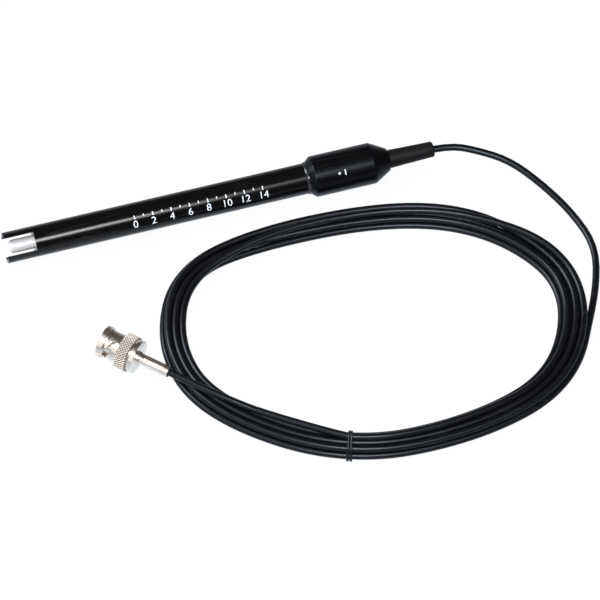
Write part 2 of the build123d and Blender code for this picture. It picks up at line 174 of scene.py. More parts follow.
def settle_turns():
    """Let the turns settle: each keeps near its lane, and rests on the floor and on its neighbours."""
    knots = [lane for turn in LANES for lane in turn]
    per_knot = STATIONS // 4
    count = STATIONS * (len(LANES) - 1) + LAST_STATIONS
    lane = np.zeros((count, 2))
    for i in range(count):
        k = i // per_knot
        t = (i % per_knot) / per_knot
        ease = t * t * (3 - 2 * t)
        here = knots[k]
        after = knots[min(k + 1, len(knots) - 1)]
        sway = SWAY * math.sin(SWAY_RATE * i + SWAY_SHIFT * k)
        lane[i, 0] = here[0] + (after[0] - here[0]) * ease + sway
        lane[i, 1] = CABLE_RADIUS + LAYER_RISE * (here[1] + (after[1] - here[1]) * ease)
    from_tie = np.arange(count) % STATIONS - TIE_PLACE
    rest = CABLE_RADIUS + TIE_LIFT * np.exp(-(from_tie / TIE_LIFT_REACH) ** 2)
    lane[:, 1] += rest - CABLE_RADIUS
    spot = lane.copy()
    width = 2 * CABLE_RADIUS
    for _ in range(SETTLE_STEPS):
        spot += LANE_PULL * (lane - spot)
        spot[:, 1] -= SINK
        # Each station moves towards the curve through its four neighbours
        for _ in range(STRAIGHTEN_PASSES):
            bend = np.zeros_like(spot)
            bend[2:-2] = (
                -spot[:-4] + 4 * spot[1:-3] + 4 * spot[3:-1] - spot[4:]
            ) / 6 - spot[2:-2]
            spot += STRAIGHTENING * bend
        # Turns that overlap push each other apart
        for _ in range(PUSH_PASSES):
            move = np.zeros_like(spot)
            for skip in range(1, len(LANES)):
                shift = skip * STATIONS
                gap = spot[shift:] - spot[:-shift]
                reach = np.maximum(np.hypot(gap[:, 0], gap[:, 1]), SMALLEST_GAP)
                push = np.maximum(width - reach, 0) / reach / 2
                move[shift:] += gap * push[:, None] * PUSH_SHARE
                move[:-shift] -= gap * push[:, None] * PUSH_SHARE
            spot += move
            spot[:, 1] = np.maximum(spot[:, 1], rest)
    return spot


turn_spots = settle_turns()
coil_route = []
for i, (across, height) in enumerate(turn_spots):
    middle, outward = coil_middle((i % STATIONS) / STATIONS)
    spot = middle + outward * across
    coil_route.append((spot.x, spot.y, height))

cable_route = [Vector(p) * MM for p in LEAD_POINTS + coil_route + TAIL_POINTS]
cable_curve = bpy.data.curves.new("signal_cable", "CURVE")
cable_curve.dimensions = "3D"
cable_curve.resolution_u = 4
cable_curve.bevel_depth = 1.0
cable_curve.bevel_resolution = 5
cable_curve.use_fill_caps = True
spline = cable_curve.splines.new("NURBS")
spline.points.add(len(cable_route) - 1)
for point, place in zip(spline.points, cable_route):
    point.co = (place.x, place.y, place.z, 1)
    point.radius = CABLE_RADIUS * MM
spline.order_u = 3
spline.use_endpoint_u = True
signal_cable = bpy.data.objects.new("signal_cable", cable_curve)
bpy.context.scene.collection.objects.link(signal_cable)
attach(signal_cable, "electrode")
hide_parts("cable_lead", "cable_coil", "cable_tail")


# Modelling steps
def begin_piece():
    """Leave edit mode and clear the selection."""
    if bpy.context.mode != "OBJECT":
        bpy.ops.object.mode_set(mode="OBJECT")
    bpy.ops.object.select_all(action="DESELECT")


def pick(piece):
    """Select one piece alone and make it active."""
    begin_piece()
    piece.select_set(True)
    bpy.context.view_layer.objects.active = piece


def settle_place(piece):
    """Put the piece's place in its mesh."""
    pick(piece)
    bpy.ops.object.transform_apply(location=True, rotation=True, scale=True)


def apply_modifier(piece, modifier):
    """Apply one modifier to its piece."""
    pick(piece)
    bpy.ops.object.modifier_apply(modifier=modifier.name)


def turn_piece(name, start, along, corners, sides, walled=True):
    """Turn a piece as on a lathe: a ring is extruded and scaled from corner to corner."""
    begin_piece()
    place, radius = corners[0]
    bpy.ops.mesh.primitive_circle_add(
        vertices=sides,
        radius=radius * MM,
        location=start + along * place * MM,
        rotation=along.to_track_quat("Z", "Y").to_euler(),
    )
    piece = bpy.context.object
    piece.name = name
    piece.data.name = name
    bpy.ops.object.mode_set(mode="EDIT")
    bpy.ops.mesh.select_mode(type="EDGE")
    bpy.ops.mesh.select_all(action="SELECT")
    for next_place, next_radius in corners[1:]:
        step = along * (next_place - place) * MM
        bpy.ops.mesh.extrude_region_move(TRANSFORM_OT_translate={"value": step})
        scale = next_radius / radius
        if scale != 1:
            centre = start + along * next_place * MM
            bpy.ops.transform.resize(value=(scale, scale, scale), center_override=centre)
        place = next_place
        radius = next_radius
    bpy.ops.mesh.select_non_manifold(
        extend=False, use_wire=False, use_boundary=True,
        use_multi_face=False, use_non_contiguous=False, use_verts=False,
    )
    if walled:
        bpy.ops.mesh.bridge_edge_loops()
    else:
        bpy.ops.mesh.fill_holes(sides=0)
    bpy.ops.mesh.select_all(action="SELECT")
    bpy.ops.mesh.normals_make_consistent(inside=False)
    settle_place(piece)
    return piece


def round_corner(centre, radius, start_degrees, end_degrees, steps):
    """Corners of a rounded edge, as (distance, radius) pairs."""
    corners = []
    for i in range(steps + 1):
        angle = math.radians(start_degrees + (end_degrees - start_degrees) * i / steps)
        corners.append((centre[0] + radius * math.cos(angle), centre[1] + radius * math.sin(angle)))
    return corners


def cut(piece, cutter):
    """Cut a shape out of a piece."""
    trim = piece.modifiers.new("cut", "BOOLEAN")
    trim.operation = "DIFFERENCE"
    trim.solver = "EXACT"
    trim.object = cutter
    apply_modifier(piece, trim)
    bpy.data.objects.remove(cutter, do_unlink=True)


def smooth(piece, corner_degrees):
    """Shade a piece smooth, apart from its sharp corners."""
    pick(piece)
    bpy.ops.object.shade_smooth_by_angle(angle=math.radians(corner_degrees))


SMOOTH_MARGIN = 6


def finish_edges(piece, width, segments=3, corner_degrees=32):
    """Round the sharp edges and shade the piece smooth between them."""
    edges = piece.modifiers.new("edges", "BEVEL")
    edges.width = width * MM
    edges.segments = segments
    edges.limit_method = "ANGLE"
    edges.angle_limit = math.radians(corner_degrees)
    apply_modifier(piece, edges)
    smooth(piece, corner_degrees + SMOOTH_MARGIN)
    even = piece.modifiers.new("even", "WEIGHTED_NORMAL")
    even.keep_sharp = True
    apply_modifier(piece, even)


def add_box(name, centre, axes, sizes):
    """A box with its own three axes, as a start for a cutter or a bar."""
    begin_piece()
    turn = Matrix(axes).transposed().to_euler()
    bpy.ops.mesh.primitive_cube_add(size=1, location=centre, rotation=turn)
    box = bpy.context.object
    box.name = name
    box.scale = Vector(sizes) * MM
    settle_place(box)
    return box


def join_pieces(piece, others):
    """Join other meshes to a piece."""
    pick(piece)
    for other in others:
        other.select_set(True)
    bpy.ops.object.join()


def place_piece(piece, body, slot, *nodes):
    """Let a finished piece ride on its body in place of its solids."""
    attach(piece, body)
    if nodes:
        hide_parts(*nodes)


# Shaft with its guard prongs
SHAFT_BORE = 4.8
SHAFT_SHOULDER = 118.6
SPIGOT_RADIUS = 5.7
SHAFT_END = 134.0
SLOT_WIDTH = 7.1
SLOT_DEPTH = 11.5
SLOT_ROLL = math.radians(32)
SLOT_CUT_LENGTH = 20.0
SLOT_CUT_HEIGHT = 14.0
electrode_shaft = turn_piece("electrode_shaft", TIP, ALONG, [
    (0, SHAFT_BORE),
    (0, SHAFT_RADIUS),
    (SHAFT_SHOULDER, SHAFT_RADIUS),
    (SHAFT_SHOULDER, SPIGOT_RADIUS),
    (SHAFT_END, SPIGOT_RADIUS),
    (SHAFT_END, SHAFT_BORE),
], sides=144)
slot_across = Matrix.Rotation(SLOT_ROLL, 3, ALONG) @ Vector((0, 1, 0))
slot_through = ALONG.cross(slot_across)
slot_cutter = add_box(
    "slot_cutter",
    TIP + ALONG * (SLOT_DEPTH - SLOT_CUT_LENGTH / 2) * MM,
    (ALONG, slot_across, slot_through),
    (SLOT_CUT_LENGTH, SLOT_WIDTH, SLOT_CUT_HEIGHT),
)
cut(electrode_shaft, slot_cutter)
finish_edges(electrode_shaft, width=0.12)
place_piece(electrode_shaft, "electrode", "shaft", "shaft")

# Glass stem with its rounded sensing end
STEM_RADIUS = 2.6
STEM_WALL = 0.5
STEM_START = 1.5
STEM_END = 132.0
BULB_CORNER = 1.9
POLE = 0.02
bulb_middle = (STEM_START + BULB_CORNER, STEM_RADIUS - BULB_CORNER)
outer_bulb = round_corner(bulb_middle, BULB_CORNER, start_degrees=180, end_degrees=90, steps=12)
inner_bulb = round_corner(
    bulb_middle, BULB_CORNER - STEM_WALL, start_degrees=90, end_degrees=180, steps=12,
)
sensing_glass = turn_piece("sensing_glass", TIP, ALONG, [
    (STEM_START, POLE),
    *outer_bulb,
    (STEM_END, STEM_RADIUS),
    (STEM_END, STEM_RADIUS - STEM_WALL),
    *inner_bulb,
    (STEM_START + STEM_WALL, POLE),
], sides=96, walled=False)
smooth(sensing_glass, corner_degrees=40)
place_piece(sensing_glass, "electrode", "glass_stem", "glass_stem")

# Cap
CAP_FRONT = 120.05
CAP_LAND = 6.35
CONE_START = 145.5
CAP_END = 152.0
CAP_REAR = 4.3
CAP_HOLE = 2.55
CAP_SOCKET = 5.75
CHAMBER_START = 134.05
CHAMBER_END = 146.0
CHAMBER_RADIUS = 4.4
electrode_cap = turn_piece("electrode_cap", TIP, ALONG, [
    (CAP_FRONT, CAP_SOCKET),
    (CAP_FRONT, CAP_LAND),
    (CAP_EDGE, CAP_RADIUS),
    (CONE_START, CAP_RADIUS),
    (CAP_END, CAP_REAR),
    (CAP_END, CAP_HOLE),
    (CHAMBER_END, CAP_HOLE),
    (CHAMBER_END, CHAMBER_RADIUS),
    (CHAMBER_START, CHAMBER_RADIUS),
    (CHAMBER_START, CAP_SOCKET),
], sides=128)
finish_edges(electrode_cap, width=0.3, segments=4, corner_degrees=25)
place_piece(electrode_cap, "electrode", "cap", "cap")

# Resin bead between the shaft and the cap
BEAD_GAP = 0.15
BEAD_START = SHAFT_SHOULDER + BEAD_GAP
BEAD_END = 120.0
BEAD_ROUND = 1.4
BEAD_MIDDLE = (BEAD_START + 0.98, SHAFT_RADIUS - 1.0)
cap_bead = turn_piece("cap_bead", TIP, ALONG, [
    (BEAD_START, CAP_SOCKET),
    (BEAD_START, SHAFT_RADIUS),
    *round_corner(BEAD_MIDDLE, BEAD_ROUND, start_degrees=124, end_degrees=76, steps=8),
    (BEAD_END, CAP_SOCKET),
], sides=96)
smooth(cap_bead, corner_degrees=40)
place_piece(cap_bead, "electrode", "cap_bond", "cap_bond")

# Strain relief boot, shrunk over the cable
BOOT_FRONT = 152.05
BOOT_BORE = 1.45
BOOT_EDGE = 0.8
BOOT_FLANGE_START = 144.35
BOOT_FLANGE_END = 145.95
BOOT_FLANGE = 3.2
BOOT_NECK = 2.5
BOOT_LEAD_IN = 0.3
BOOT_LEAD_IN_RADIUS = 3.3
BOOT_WIDEST = 3.55
BOOT_TAPER = [(155.0, 3.5), (158.0, 3.36), (161.0, 3.3), (164.0, 3.18), (167.0, 3.1)]
BOOT_NARROWEST = 3.04
boot_corner = (BOOT_END - BOOT_EDGE, BOOT_NARROWEST - BOOT_EDGE)
strain_boot = turn_piece("strain_boot", TIP, ALONG, [
    (BOOT_FLANGE_START, BOOT_BORE),
    (BOOT_FLANGE_START, BOOT_FLANGE),
    (BOOT_FLANGE_END, BOOT_FLANGE),
    (BOOT_FLANGE_END, BOOT_NECK),
    (BOOT_FRONT, BOOT_NECK),
    (BOOT_FRONT, BOOT_LEAD_IN_RADIUS),
    (BOOT_FRONT + BOOT_LEAD_IN, BOOT_WIDEST),
    *BOOT_TAPER,
    *round_corner(boot_corner, BOOT_EDGE, start_degrees=88, end_degrees=0, steps=6),
    (BOOT_END, BOOT_BORE),
], sides=96)
smooth(strain_boot, corner_degrees=32)
place_piece(strain_boot, "electrode", "boot", "boot")

# Printed marks: flat shapes laid on the surface
INK_DEPTH = 0.03
INK_PROUD = 0.7
INK_STRIPS = 14
PRINT_LIFT = 1.0
BAR_ROUND = 0.35


def print_frame(place, radius, down_degrees):
    """Frame of a print above the surface: x along the electrode, y up the print, z outwards."""
    facing = (toward_camera - ALONG * toward_camera.dot(ALONG)).normalized()
    outward = Matrix.Rotation(math.radians(down_degrees), 3, ALONG) @ facing
    upward = outward.cross(ALONG)
    turn = Matrix((ALONG, upward, outward)).transposed().to_4x4()
    return Matrix.Translation(TIP + (ALONG * place + outward * (radius + PRINT_LIFT)) * MM) @ turn


def add_figure(number, across, up, height):
    """One figure of a print, as a flat mesh in the print's own frame."""
    begin_piece()
    bpy.ops.object.text_add()
    figure = bpy.context.object
    figure.data.body = str(number)
    figure.data.size = height * MM
    figure.data.align_x = "CENTER"
    figure.data.resolution_u = 6
    bpy.ops.object.convert(target="MESH")
    figure = bpy.context.object
    figure.location = Vector((across, up, 0)) * MM
    settle_place(figure)
    return figure


def add_bar(across, up, width, height):
    """One bar of a print, with rounded ends, as a flat mesh in the print's own frame."""
    begin_piece()
    bpy.ops.mesh.primitive_plane_add(size=1)
    bar = bpy.context.object
    bar.scale = (width * MM, height * MM, 1)
    settle_place(bar)
    bpy.ops.object.mode_set(mode="EDIT")
    bpy.ops.mesh.select_all(action="SELECT")
    bpy.ops.mesh.bevel(offset=min(width, height) * BAR_ROUND * MM, segments=3, affect="VERTICES")
    bpy.ops.object.mode_set(mode="OBJECT")
    bar.location = Vector((across, up, 0)) * MM
    settle_place(bar)
    return bar


def lay_print(name, marks, print_place, carrier, reach):
    """Join the marks, cut them in strips, lay them on their carrier and give the ink its depth."""
    join_pieces(marks[0], marks[1:])
    ink = marks[0]
    ink.name = name
    ink.data.name = name
    bpy.ops.object.mode_set(mode="EDIT")
    for strip in range(1, INK_STRIPS):
        bpy.ops.mesh.select_all(action="SELECT")
        height = (strip / INK_STRIPS - 0.5) * 2 * reach * MM
        bpy.ops.mesh.bisect(plane_co=(0, height, 0), plane_no=(0, 1, 0))
    bpy.ops.object.mode_set(mode="OBJECT")
    ink.matrix_world = print_place
    lay = ink.modifiers.new("lay", "SHRINKWRAP")
    lay.target = carrier
    lay.wrap_method = "PROJECT"
    lay.use_project_z = True
    lay.use_negative_direction = True
    lay.use_positive_direction = False
    lay.offset = INK_DEPTH * INK_PROUD * MM
    apply_modifier(ink, lay)
    depth = ink.modifiers.new("depth", "SOLIDIFY")
    depth.thickness = INK_DEPTH * MM
    depth.offset = -1
    apply_modifier(ink, depth)
    settle_place(ink)
    place_piece(ink, "electrode", "insulator")
    return ink


# Scale of numbers along the shaft
SCALE_START = 50.6
SCALE_STEP = 3.62
SCALE_TOP = 14
SCALE_ROLL = 17
SCALE_REACH = 3.0
FIGURE_HEIGHT = 4.1
FIGURE_FOOT = -2.2
LONG_MARK = {"up": 1.9, "width": 0.42, "height": 1.4}
SHORT_MARK = {"up": 2.15, "width": 0.36, "height": 0.9}
scale_marks = []
for number in range(SCALE_TOP + 1):
    across = (number - SCALE_TOP / 2) * SCALE_STEP
    if number % 2 == 0:
        scale_marks.append(add_figure(number, across, FIGURE_FOOT, FIGURE_HEIGHT))
        scale_marks.append(add_bar(across, **LONG_MARK))
    else:
        scale_marks.append(add_bar(across, **SHORT_MARK))
scale_middle = SCALE_START + SCALE_STEP * SCALE_TOP / 2
scale_place = print_frame(scale_middle, SHAFT_RADIUS, SCALE_ROLL)
number_scale = lay_print("number_scale", scale_marks, scale_place, electrode_shaft, SCALE_REACH)

# Dot and bar on the cap
SIGN_MIDDLE = 132.7
SIGN_ROLL = 9
SIGN_REACH = 1.5
cap_marks = [
    add_bar(across=-1.4, up=0, width=0.9, height=0.9),
    add_bar(across=1.0, up=0, width=0.42, height=2.2),
]
sign_place = print_frame(SIGN_MIDDLE, CAP_RADIUS, SIGN_ROLL)
cap_sign = lay_print("cap_sign", cap_marks, sign_place, electrode_cap, SIGN_REACH)

# Tie: two wraps drawn tight round the turns
TIE_RADIUS = 0.46
TIE_POINTS = 44
TIE_REST = 0.9
WRAP_OFFSET = 0.44
WRAP_SPREAD = 0.30
tie_share = TIE_PLACE - int(TIE_PLACE)
tie_spots = turn_spots[int(TIE_PLACE)::STATIONS] * (1 - tie_share)
tie_spots += turn_spots[int(TIE_PLACE) + 1::STATIONS] * tie_share
tie_middle, tie_outward = coil_middle(TIE_PLACE / STATIONS)
tie_forward = Vector((tie_outward.y, -tie_outward.x))
tie_curve = bpy.data.curves.new("bundle_tie", "CURVE")
tie_curve.dimensions = "3D"
tie_curve.resolution_u = 3
tie_curve.bevel_depth = TIE_RADIUS * MM
tie_curve.bevel_resolution = 3
for wrap in (-1, 1):
    tie_spline = tie_curve.splines.new("NURBS")
    tie_spline.points.add(TIE_POINTS - 1)
    for i, point in enumerate(tie_spline.points):
        angle = 2 * math.pi * i / TIE_POINTS
        facing = np.array((math.cos(angle), math.sin(angle)))
        outermost = tie_spots[np.argmax(tie_spots @ facing)]
        across, height = outermost + facing * (CABLE_RADIUS + TIE_RADIUS * TIE_REST)
        slip = wrap * (WRAP_OFFSET + WRAP_SPREAD * max(0, math.cos(angle)) ** 2)
        spot = tie_middle + tie_outward * across + tie_forward * slip
        point.co = (spot.x * MM, spot.y * MM, max(height, TIE_RADIUS) * MM, 1)
    tie_spline.order_u = 3
    tie_spline.use_cyclic_u = True
bundle_tie = bpy.data.objects.new("bundle_tie", tie_curve)
bpy.context.scene.collection.objects.link(bundle_tie)
pick(bundle_tie)
bpy.ops.object.convert(target="MESH")
bundle_tie = bpy.context.object
bpy.ops.object.shade_smooth()
place_piece(bundle_tie, "electrode", "tie", "coil_tie")

# Coupling nut of the plug: lip, bayonet sleeve and knurled ring
LIP_RADIUS = 6.35
LIP_LENGTH = 1.9
SLEEVE_RADIUS = 5.55
SLEEVE_BORE = 4.95
SLEEVE_WALL = SLEEVE_RADIUS - SLEEVE_BORE
NECK_RADIUS = 6.0
NECK_END = 3.6
NECK_HOLLOW = 2.6
KNURL_START = 8.2
KNURL_END = 12.9
KNURL_ROOT = 6.78
KNURL_TOP = 7.2
KNURL_EDGE = 0.45
WEB_BORE = 4.66
WEB_FRONT = 11.4
NUT_CHAMBER = 6.0
NUT_FRONT_WALL = 0.5
neck_middle = (NECK_END, SLEEVE_RADIUS + NECK_HOLLOW)
coupling_ring = turn_piece("coupling_ring", PLUG_FRONT, PLUG_ALONG, [
    (0, SLEEVE_BORE),
    (0, LIP_RADIUS),
    (LIP_LENGTH, LIP_RADIUS),
    (LIP_LENGTH, NECK_RADIUS),
    *round_corner(neck_middle, NECK_HOLLOW, start_degrees=236, end_degrees=270, steps=6),
    (KNURL_START, SLEEVE_RADIUS),
    (KNURL_START, KNURL_ROOT - KNURL_EDGE),
    (KNURL_START + KNURL_EDGE, KNURL_ROOT),
    (KNURL_END - KNURL_EDGE, KNURL_ROOT),
    (KNURL_END, KNURL_ROOT - KNURL_EDGE),
    (KNURL_END, WEB_BORE),
    (WEB_FRONT, WEB_BORE),
    (WEB_FRONT, NUT_CHAMBER),
    (KNURL_START + NUT_FRONT_WALL, NUT_CHAMBER),
    (KNURL_START + NUT_FRONT_WALL, SLEEVE_BORE),
], sides=144)
BAYONET_WIDTH = 2.1
BAYONET_DETENT = 2.5
BAYONET_RISE = 2.6
BAYONET_SWEEP = 5.6
BAYONET_FRONT = 3.1
BAYONET_ROLLS = (62, 242)
PIN_SIDES = 40
PIN_LENGTH = 5.0
ENTRY_LENGTH = 4.0
ENTRY_HEIGHT = 1.8


def add_pin(centre, outward, width):
    """A round pin that points outwards, as a start for a cutter in the sleeve."""
    begin_piece()
    bpy.ops.mesh.primitive_cylinder_add(
        vertices=PIN_SIDES,
        radius=width / 2 * MM,
        depth=PIN_LENGTH * MM,
        location=centre,
        rotation=outward.to_track_quat("Z", "Y").to_euler(),
    )
    pin = bpy.context.object
    settle_place(pin)
    return pin


for roll_degrees in BAYONET_ROLLS:
    outward = Matrix.Rotation(math.radians(roll_degrees), 3, PLUG_ALONG) @ Vector((0, 0, 1))
    around = outward.cross(PLUG_ALONG)
    ramp_start = PLUG_FRONT + (
        outward * SLEEVE_RADIUS + PLUG_ALONG * BAYONET_FRONT - around * BAYONET_SWEEP / 2
    ) * MM
    ramp_step = (PLUG_ALONG * BAYONET_RISE + around * BAYONET_SWEEP) * MM
    # The ramp: one half of a pin is moved on to the detent
    ramp_cutter = add_pin(ramp_start, outward, BAYONET_WIDTH)
    for vertex in ramp_cutter.data.vertices:
        vertex.select = (vertex.co - ramp_start).dot(ramp_step) > 0
    for side in (*ramp_cutter.data.polygons, *ramp_cutter.data.edges):
        side.select = False
    bpy.ops.object.mode_set(mode="EDIT")
    bpy.ops.mesh.select_mode(type="VERT")
    bpy.ops.transform.translate(value=ramp_step)
    bpy.ops.object.mode_set(mode="OBJECT")
    cut(coupling_ring, ramp_cutter)
    cut(coupling_ring, add_pin(ramp_start + ramp_step, outward, BAYONET_DETENT))
    entry_cutter = add_box(
        "entry_cutter",
        ramp_start - outward * SLEEVE_WALL * MM - PLUG_ALONG * ENTRY_LENGTH / 2 * MM,
        (PLUG_ALONG, around, outward),
        (ENTRY_LENGTH, BAYONET_WIDTH, ENTRY_HEIGHT),
    )
    cut(coupling_ring, entry_cutter)
finish_edges(coupling_ring, width=0.14, segments=2, corner_degrees=40)

# Diamond knurl: one stud, copied round the ring in staggered rows
KNURL_COUNT = 38
KNURL_ROWS = 7
STUD_SINK = 0.06
STUD_FLAT = 0.09
knurl_pitch = 2 * math.pi * KNURL_ROOT / KNURL_COUNT
row_step = (KNURL_END - KNURL_START - 2 * KNURL_EDGE) / (KNURL_ROWS - 1)
begin_piece()
bpy.ops.mesh.primitive_cone_add(
    vertices=4,
    radius1=knurl_pitch / 2 * MM,
    radius2=knurl_pitch * STUD_FLAT * MM,
    depth=(KNURL_TOP - KNURL_ROOT + STUD_SINK) * MM,
    location=PLUG_FRONT + Vector((0, 0, (KNURL_ROOT + KNURL_TOP - STUD_SINK) / 2)) * MM,
    rotation=(0, 0, PLUG_HEADING),
)
knurl_stud = bpy.context.object
knurl_stud.scale = (row_step / (knurl_pitch / 2), 1, 1)
settle_place(knurl_stud)
knurl_studs = []
for row in range(KNURL_ROWS):
    row_place = KNURL_START + KNURL_EDGE + row * row_step
    for k in range(KNURL_COUNT):
        angle = 2 * math.pi * (k + 0.5 * (row % 2)) / KNURL_COUNT
        copy = bpy.data.objects.new("knurl_copy", knurl_stud.data.copy())
        copy.matrix_world = (
            Matrix.Translation(PLUG_FRONT + PLUG_ALONG * row_place * MM)
            @ Matrix.Rotation(angle, 4, PLUG_ALONG)
            @ Matrix.Translation(-PLUG_FRONT)
        )
        bpy.context.scene.collection.objects.link(copy)
        knurl_studs.append(copy)
bpy.data.objects.remove(knurl_stud, do_unlink=True)
join_pieces(coupling_ring, knurl_studs)
place_piece(coupling_ring, "coupling", "nickel", "coupling_nut")

# Plug body: slit outer contact, barrel, rear flange and crimp stem
CONTACT_RADIUS = 4.05
CONTACT_BORE = 3.5
CONTACT_START = 2.0
BARREL_START = 9.0
BARREL_RADIUS = 4.6
GROOVE_START = 9.35
GROOVE_END = 10.05
GROOVE_RADIUS = 4.2
FLANGE_START = 13.7
FLANGE_END = 15.3
FLANGE_RADIUS = 6.55
COLLAR_END = 16.2
COLLAR_RADIUS = 2.5
CRIMP_STEM_END = 22.2
STEM_BORE = 0.8
SLIT_LENGTH = 4.0
SLIT_WIDTH = 0.5
plug_shell = turn_piece("plug_shell", PLUG_FRONT, PLUG_ALONG, [
    (CONTACT_START, CONTACT_BORE),
    (CONTACT_START, CONTACT_RADIUS),
    (BARREL_START, CONTACT_RADIUS),
    (BARREL_START, BARREL_RADIUS),
    (GROOVE_START, BARREL_RADIUS),
    (GROOVE_START, GROOVE_RADIUS),
    (GROOVE_END, GROOVE_RADIUS),
    (GROOVE_END, BARREL_RADIUS),
    (FLANGE_START, BARREL_RADIUS),
    (FLANGE_START, FLANGE_RADIUS),
    (FLANGE_END, FLANGE_RADIUS),
    (FLANGE_END, COLLAR_RADIUS),
    (COLLAR_END, COLLAR_RADIUS),
    (COLLAR_END, CABLE_RADIUS),
    (CRIMP_STEM_END, CABLE_RADIUS),
    (CRIMP_STEM_END, STEM_BORE),
    (KNURL_END, STEM_BORE),
    (KNURL_END, CONTACT_BORE),
], sides=128)
for side_way in (PLUG_SIDE, Vector((0, 0, 1))):
    other_way = PLUG_ALONG.cross(side_way)
    slit_cutter = add_box(
        "slit_cutter",
        PLUG_FRONT + PLUG_ALONG * (CONTACT_START + SLIT_LENGTH / 2) * MM,
        (PLUG_ALONG, side_way, other_way),
        (SLIT_LENGTH, 2 * BARREL_RADIUS, SLIT_WIDTH),
    )
    cut(plug_shell, slit_cutter)
finish_edges(plug_shell, width=0.12, segments=3)
place_piece(plug_shell, "electrode", "nickel", "plug_body")

# Crimp sleeve, pressed to a hexagon over most of its length
SLEEVE_START = 16.25
SLEEVE_END = 28.65
CRIMP_RADIUS = 2.15
CRIMP_FLATS = 4.0
CRIMP_MARGIN = 2.0
CRIMP_BORE = 1.45
CRIMP_SIDES = 6
FLAT_CUT = 2.0
crimp_sleeve = turn_piece("crimp_sleeve", PLUG_FRONT, PLUG_ALONG, [
    (SLEEVE_START, CRIMP_BORE),
    (SLEEVE_START, CRIMP_RADIUS),
    (SLEEVE_END, CRIMP_RADIUS),
    (SLEEVE_END, CRIMP_BORE),
], sides=96)
sleeve_middle = (SLEEVE_START + SLEEVE_END) / 2
for i in range(CRIMP_SIDES):
    facing = Matrix.Rotation(math.radians(360 / CRIMP_SIDES * i), 3, PLUG_ALONG) @ PLUG_SIDE
    beside = PLUG_ALONG.cross(facing)
    flat_cutter = add_box(
        "flat_cutter",
        PLUG_FRONT + (PLUG_ALONG * sleeve_middle + facing * (CRIMP_FLATS + FLAT_CUT) / 2) * MM,
        (PLUG_ALONG, facing, beside),
        (SLEEVE_END - SLEEVE_START - 2 * CRIMP_MARGIN, FLAT_CUT, 2 * FLAT_CUT),
    )
    cut(crimp_sleeve, flat_cutter)
finish_edges(crimp_sleeve, width=0.1, segments=2, corner_degrees=14)
place_piece(crimp_sleeve, "electrode", "nickel", "crimp_ferrule")

# Dished washer between the retaining ring and the nut's web, built in its dished rest shape: the real one
# flattens as the nut is pulled forward
WASHER_FRONT = 10.05
WASHER_BACK = 11.35
WASHER_RADIUS = 5.5
WASHER_THICKNESS = 0.25
dished_washer = turn_piece("dished_washer", PLUG_FRONT, PLUG_ALONG, [
    (WASHER_FRONT, WASHER_RADIUS),
    (WASHER_FRONT + WASHER_THICKNESS, WASHER_RADIUS),
    (WASHER_BACK, WEB_BORE),
    (WASHER_BACK - WASHER_THICKNESS, WEB_BORE),
], sides=96)
finish_edges(dished_washer, width=0.04, segments=2)
place_piece(dished_washer, "spring", "spring_steel", "spring_washer")
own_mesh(dished_washer)


# Finishes: node helpers, shared effects as node groups, then one material for each finish
def add_node(tree, kind, inputs=None, **settings):
    """A shader node with its settings, and each input set to a value or linked to a socket."""
    node = tree.nodes.new(kind)
    for key, value in settings.items():
        setattr(node, key, value)
    for key, value in (inputs or {}).items():
        if isinstance(value, bpy.types.NodeSocket):
            tree.links.new(value, node.inputs[key])
        else:
            node.inputs[key].default_value = value
    return node


def add_math(tree, operation, *inputs):
    """The result of one sum on values."""
    return add_node(tree, "ShaderNodeMath", dict(enumerate(inputs)), operation=operation).outputs[0]


def add_noise(tree, place, scale, detail, roughness=0.5, distortion=0.0):
    """The value of a noise at a place."""
    noise = add_node(tree, "ShaderNodeTexNoise", {
        "Vector": place,
        "Scale": scale,
        "Detail": detail,
        "Roughness": roughness,
        "Distortion": distortion,
    })
    return noise.outputs["Fac"]


def add_range(tree, value, start, end, low=0.0, high=1.0, **settings):
    """A value brought from the range between start and end to the one between low and high."""
    level = add_node(tree, "ShaderNodeMapRange", {
        "Value": value,
        "From Min": start,
        "From Max": end,
        "To Min": low,
        "To Max": high,
    }, **settings)
    return level.outputs["Result"]


def add_mix(tree, mask, first, second):
    """A colour between two colours by a mask."""
    mix = add_node(tree, "ShaderNodeMix", {"Factor": mask, "A": first, "B": second}, data_type="RGBA")
    return mix.outputs["Result"]


def add_mapping(tree, place, **values):
    """A place that is turned, moved or stretched."""
    return add_node(tree, "ShaderNodeMapping", {"Vector": place, **values}).outputs["Vector"]


def new_group(name, values):
    """A shader node group that takes a place and named values."""
    group = bpy.data.node_groups.new(name, "ShaderNodeTree")
    group.interface.new_socket(name="Place", in_out="INPUT", socket_type="NodeSocketVector")
    for socket, value in values.items():
        made = group.interface.new_socket(name=socket, in_out="INPUT", socket_type="NodeSocketFloat")
        made.default_value = value
    return group, group.nodes.new("NodeGroupInput").outputs


def close_group(group, results):
    """Give a group its named results."""
    for socket in results:
        group.interface.new_socket(name=socket, in_out="OUTPUT", socket_type="NodeSocketFloat")
    add_node(group, "NodeGroupOutput", results)


# Moulded grain: a fine noise on a slower one
FINE_SHARE = 0.5
moulded_grain, entry = new_group("moulded_grain", {"Fine": 3000.0, "Slow": 300.0})
fine = add_noise(moulded_grain, entry["Place"], entry["Fine"], detail=3.0, roughness=0.6)
slow = add_noise(moulded_grain, entry["Place"], entry["Slow"], detail=2.0)
both = add_math(moulded_grain, "MULTIPLY_ADD", fine, FINE_SHARE, slow)
close_group(moulded_grain, {"Height": both, "Tone": slow})

